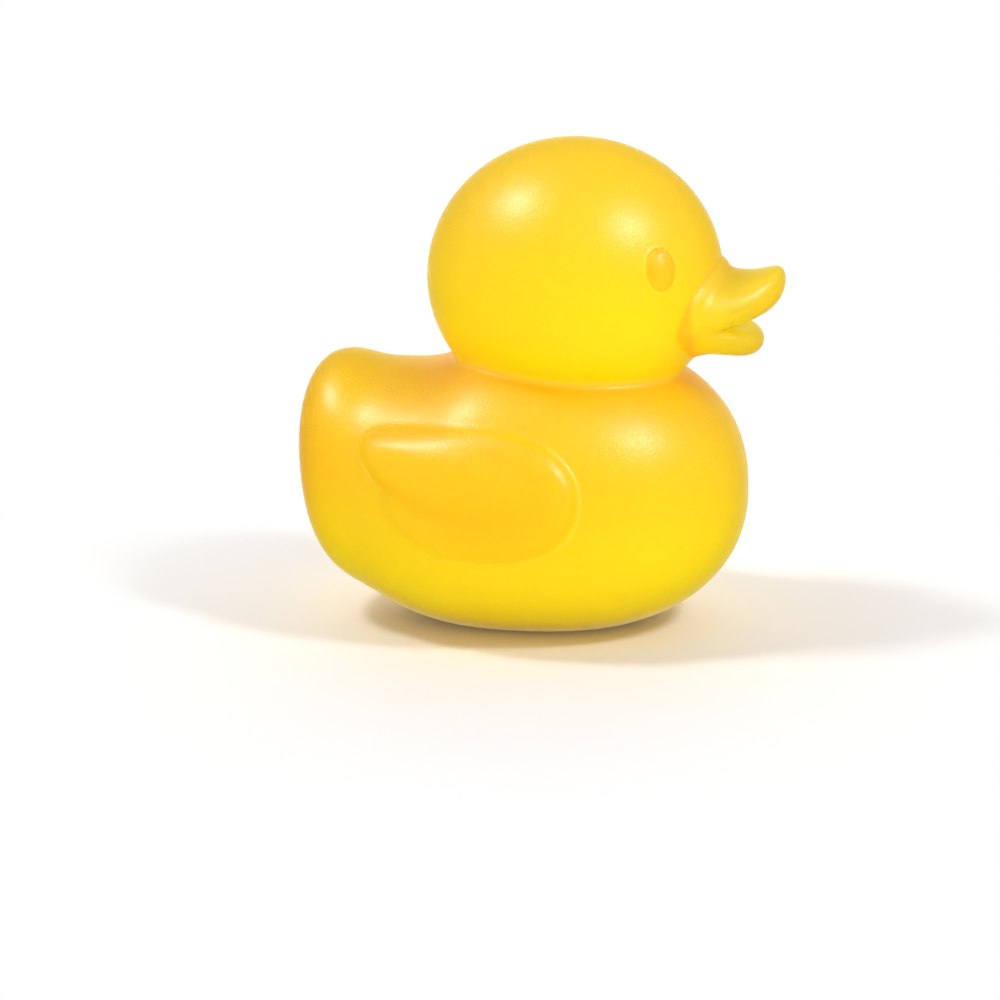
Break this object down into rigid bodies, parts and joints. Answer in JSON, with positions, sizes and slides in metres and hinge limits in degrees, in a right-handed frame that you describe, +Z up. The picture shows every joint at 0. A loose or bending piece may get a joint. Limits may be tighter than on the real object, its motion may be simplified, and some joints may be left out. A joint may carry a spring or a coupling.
{
  "type": "squishy duck",
  "caption": "Soft one-piece toy duck to squeeze, of translucent yellow rubber, with a round head, open bill, raised eyes and wings, a blunt raised tail and a flat base.",
  "frame": {"origin": "middle of the bounding box, on the plane that the flat base rests on", "axes": "+X the way the duck faces, +Y to its left, +Z up"},
  "size_m": [0.057, 0.0456, 0.0567],
  "materials": {
    "soft_rubber": "translucent soft rubber with a satin skin and a fine wrinkled grain"
  },
  "bodies": {
    "root": {"squishy_duck": "soft_rubber"}
  },
  "joints": []
}
